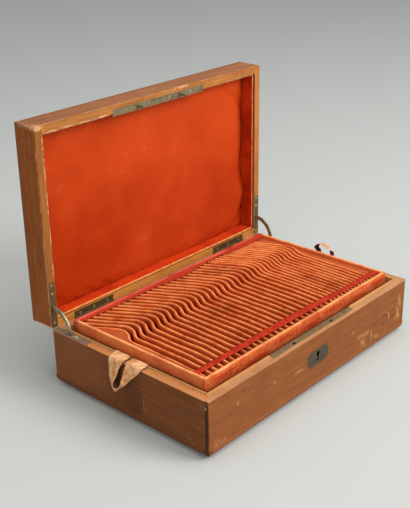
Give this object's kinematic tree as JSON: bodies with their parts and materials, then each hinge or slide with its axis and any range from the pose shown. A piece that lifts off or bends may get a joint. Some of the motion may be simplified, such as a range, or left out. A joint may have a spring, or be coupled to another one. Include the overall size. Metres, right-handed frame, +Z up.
{
  "type": "cutlery chest",
  "caption": "Antique wooden cutlery chest with a hinged lid on quadrant stays, a box lock and a lift-out slotted tray covered in orange suede.",
  "frame": {"origin": "middle of the underside of the base", "axes": "+X along the length to the right, -Y the front with the keyhole, +Z up; the lid stands open"},
  "size_m": [0.3953, 0.2898, 0.3241],
  "materials": {
    "case_wood": "brown stain over hardwood, waxed and worn",
    "liner_wood": "thin wood covered with orange suede",
    "lid_liner_wood": "thin wood covered with red-orange satin",
    "tray_wood": "thin wood covered with orange suede",
    "satin": "padded red-orange satin",
    "floor_cloth": "felt",
    "red_ribbon": "red ribbon",
    "pale_ribbon": "faded peach ribbon",
    "dark_brass": "brass gone dark olive",
    "plate_brass": "grey-green aged brass",
    "bright_brass": "brass rubbed pale",
    "lock_steel": "dull steel"
  },
  "bodies": {
    "base": {"base_bottom_board": "case_wood", "base_front_board": "case_wood", "base_back_board": "case_wood", "base_left_board": "case_wood", "base_right_board": "case_wood", "tray_rests": "case_wood", "base_front_liner": "liner_wood", "base_back_liner": "liner_wood", "base_left_liner": "liner_wood", "base_right_liner": "liner_wood", "base_floor_lining": "floor_cloth", "lock_plate": "plate_brass", "escutcheon": "plate_brass", "stay_plate_base_left": "plate_brass", "stay_plate_base_right": "plate_brass", "hinge_leaf_base_left": "dark_brass", "hinge_leaf_base_right": "dark_brass", "lock_case": "lock_steel", "key_post": "lock_steel", "hinge_pin_left": "lock_steel", "hinge_pin_right": "lock_steel", "lock_screws": "lock_steel", "hinge_screws_base": "lock_steel", "stay_screws_base": "lock_steel"},
    "lid": {"lid_top_panel": "case_wood", "lid_front_board": "case_wood", "lid_back_board": "case_wood", "lid_left_board": "case_wood", "lid_right_board": "case_wood", "lid_front_liner": "lid_liner_wood", "lid_back_liner": "lid_liner_wood", "lid_left_liner": "lid_liner_wood", "lid_right_liner": "lid_liner_wood", "lid_lining": "satin", "link_plate": "plate_brass", "link_screws": "lock_steel", "hinge_leaf_lid_left": "dark_brass", "hinge_leaf_lid_right": "dark_brass", "stay_plate_lid_left": "plate_brass", "stay_plate_lid_right": "plate_brass", "hinge_screws_lid": "lock_steel", "stay_screws_lid": "lock_steel"},
    "tray": {"tray_front_wall": "tray_wood", "tray_back_wall": "tray_wood", "tray_left_wall": "tray_wood", "tray_right_wall": "tray_wood", "tray_bottom": "tray_wood", "tray_ribs_table": "tray_wood", "tray_ribs_dessert": "tray_wood", "tray_packing_left": "tray_wood", "tray_packing_right": "tray_wood", "tray_front_ribbon": "red_ribbon", "tray_rear_ribbon": "red_ribbon", "pull_tab_left": "pale_ribbon", "pull_tab_right": "pale_ribbon"},
    "lock_bolt": {"lock_bolt": "lock_steel"},
    "stay_arm_left": {"stay_arm_left": "bright_brass"},
    "stay_arm_right": {"stay_arm_right": "bright_brass"}
  },
  "joints": [
    {"name": "lid_hinge", "type": "hinge", "parent": "base", "child": "lid", "pos_m": [0, 0.125, 0.07415], "axis": [1, 0, 0], "range_deg": [0, 90], "deforming": ["pull_tab_left", "pull_tab_right"]},
    {"name": "stay_left_swing", "type": "hinge", "parent": "base", "child": "stay_arm_left", "pos_m": [0, 0.125, 0.07415], "axis": [1, 0, 0], "range_deg": [0, 45]},
    {"name": "stay_right_swing", "type": "hinge", "parent": "base", "child": "stay_arm_right", "pos_m": [0, 0.125, 0.07415], "axis": [1, 0, 0], "range_deg": [0, 45]},
    {"name": "tray_lift", "type": "slide", "parent": "base", "child": "tray", "axis": [0, 0, 1], "range_m": [0, 0.07]},
    {"name": "lock_bolt_slide", "type": "slide", "parent": "base", "child": "lock_bolt", "axis": [-1, 0, 0], "range_m": [0, 0.0035]}
  ],
  "couplings": [
    {"joint": "stay_left_swing", "follows": "lid_hinge", "ratio": 0.5},
    {"joint": "stay_right_swing", "follows": "lid_hinge", "ratio": 0.5}
  ]
}
